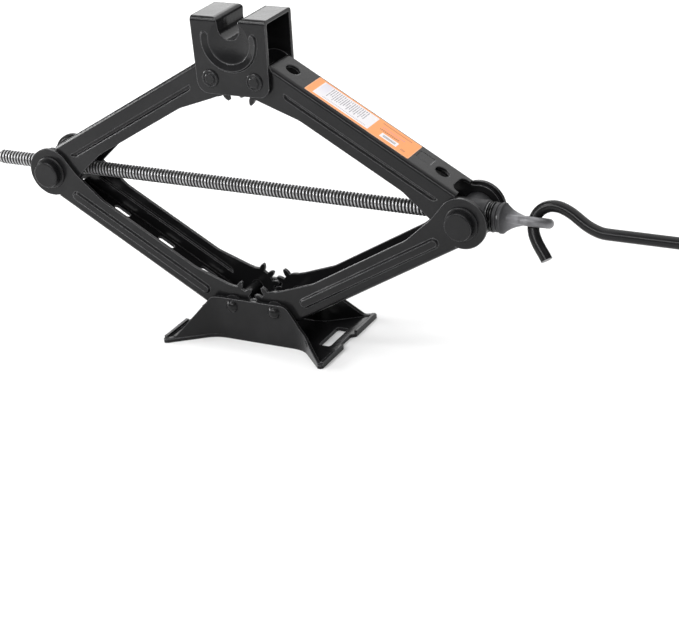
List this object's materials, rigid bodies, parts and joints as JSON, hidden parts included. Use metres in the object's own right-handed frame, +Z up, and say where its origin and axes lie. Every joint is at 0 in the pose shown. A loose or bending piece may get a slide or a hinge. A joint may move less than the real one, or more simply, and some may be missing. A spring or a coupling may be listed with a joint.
{
  "type": "scissor car jack",
  "caption": "Black scissor jack for a car, half raised, with a long screw and a hooked crank handle in the screw's eye.",
  "frame": {"origin": "on the ground, midway between the two base pins", "axes": "+X along the screw towards its eye and the handle, -Y the front, +Z up"},
  "size_m": [0.9056, 0.1177, 0.2883],
  "materials": {
    "black_paint": "gloss",
    "screw_steel": "satin",
    "forged_steel": "matte",
    "bright_steel": "satin",
    "label_film": "matte",
    "grip_plastic": "satin"
  },
  "bodies": {
    "base": {"base_plate": "black_paint", "base_pins": "black_paint", "base_pin_washers": "black_paint"},
    "lower_right": {"lower_arm_right": "black_paint"},
    "lower_left": {"lower_arm_left": "black_paint"},
    "upper_right": {"upper_arm_right": "black_paint", "rating_label": "label_film"},
    "upper_left": {"upper_arm_left": "black_paint"},
    "saddle_top": {"saddle": "black_paint", "saddle_pins": "black_paint", "saddle_pin_washers": "black_paint"},
    "nut_trunnion_body": {"nut_trunnion": "forged_steel", "nut_trunnion_caps": "black_paint", "nut_trunnion_washers": "black_paint"},
    "bearing_trunnion_body": {"bearing_trunnion": "forged_steel", "bearing_trunnion_caps": "black_paint", "bearing_trunnion_washers": "black_paint", "thrust_race_fixed": "bright_steel"},
    "bearing_balls": {"thrust_balls": "bright_steel", "thrust_ball_cage": "bright_steel"},
    "screw": {"lead_screw": "screw_steel", "screw_eye": "forged_steel", "eye_lock_pin": "bright_steel", "thrust_race_turning": "bright_steel"},
    "handle": {"hook_rod": "black_paint"},
    "crank": {"crank_arm": "black_paint", "crank_spigot_washer": "black_paint", "grip_stops": "black_paint"},
    "grip": {"grip_sleeve": "grip_plastic"}
  },
  "joints": [
    {"name": "lift_fold", "type": "hinge", "parent": "base", "child": "lower_right", "pos_m": [0.0195, 0, 0.03], "axis": [0, -1, 0], "range_deg": [-20, 35]},
    {"name": "lower_left_fold", "type": "hinge", "parent": "base", "child": "lower_left", "pos_m": [-0.0195, 0, 0.03], "axis": [0, 1, 0], "range_deg": [-20, 35]},
    {"name": "right_trunnion_level", "type": "hinge", "parent": "lower_right", "child": "bearing_trunnion_body", "pos_m": [0.18664, 0, 0.1265], "axis": [0, 1, 0], "range_deg": [-20, 35]},
    {"name": "left_trunnion_level", "type": "hinge", "parent": "lower_left", "child": "nut_trunnion_body", "pos_m": [-0.18664, 0, 0.1265], "axis": [0, -1, 0], "range_deg": [-20, 35]},
    {"name": "upper_right_fold", "type": "hinge", "parent": "lower_right", "child": "upper_right", "pos_m": [0.18664, 0, 0.1265], "axis": [0, 1, 0], "range_deg": [-40, 70]},
    {"name": "upper_left_fold", "type": "hinge", "parent": "lower_left", "child": "upper_left", "pos_m": [-0.18664, 0, 0.1265], "axis": [0, -1, 0], "range_deg": [-40, 70]},
    {"name": "saddle_level", "type": "hinge", "parent": "upper_right", "child": "saddle_top", "pos_m": [0.0195, 0, 0.223], "axis": [0, -1, 0], "range_deg": [-20, 35]},
    {"name": "screw_spin", "type": "hinge", "parent": "bearing_trunnion_body", "child": "screw", "pos_m": [0.18664, 0, 0.1265], "axis": [1, 0, 0], "continuous": true},
    {"name": "ball_cage_spin", "type": "hinge", "parent": "bearing_trunnion_body", "child": "bearing_balls", "pos_m": [0.20364, 0, 0.1265], "axis": [1, 0, 0], "continuous": true},
    {"name": "handle_swing", "type": "hinge", "parent": "screw", "child": "handle", "pos_m": [0.2477, 0, 0.1265], "axis": [0, -0.9135, 0.4067], "range_deg": [-18, 40]},
    {"name": "crank_fold", "type": "hinge", "parent": "handle", "child": "crank", "pos_m": [0.532, -0.00102, 0.12422], "axis": [0, 0.9135, -0.4067], "range_deg": [-90, 0]},
    {"name": "grip_spin", "type": "hinge", "parent": "crank", "child": "grip", "pos_m": [0.6, 0.05796, 0.27857], "axis": [1, 0, 0], "continuous": true}
  ],
  "couplings": [
    {"joint": "lower_left_fold", "follows": "lift_fold", "ratio": 1},
    {"joint": "right_trunnion_level", "follows": "lift_fold", "ratio": 1},
    {"joint": "left_trunnion_level", "follows": "lift_fold", "ratio": 1},
    {"joint": "upper_right_fold", "follows": "lift_fold", "ratio": 2},
    {"joint": "upper_left_fold", "follows": "lift_fold", "ratio": 2},
    {"joint": "saddle_level", "follows": "lift_fold", "ratio": 1},
    {"joint": "ball_cage_spin", "follows": "screw_spin", "ratio": 0.5}
  ]
}
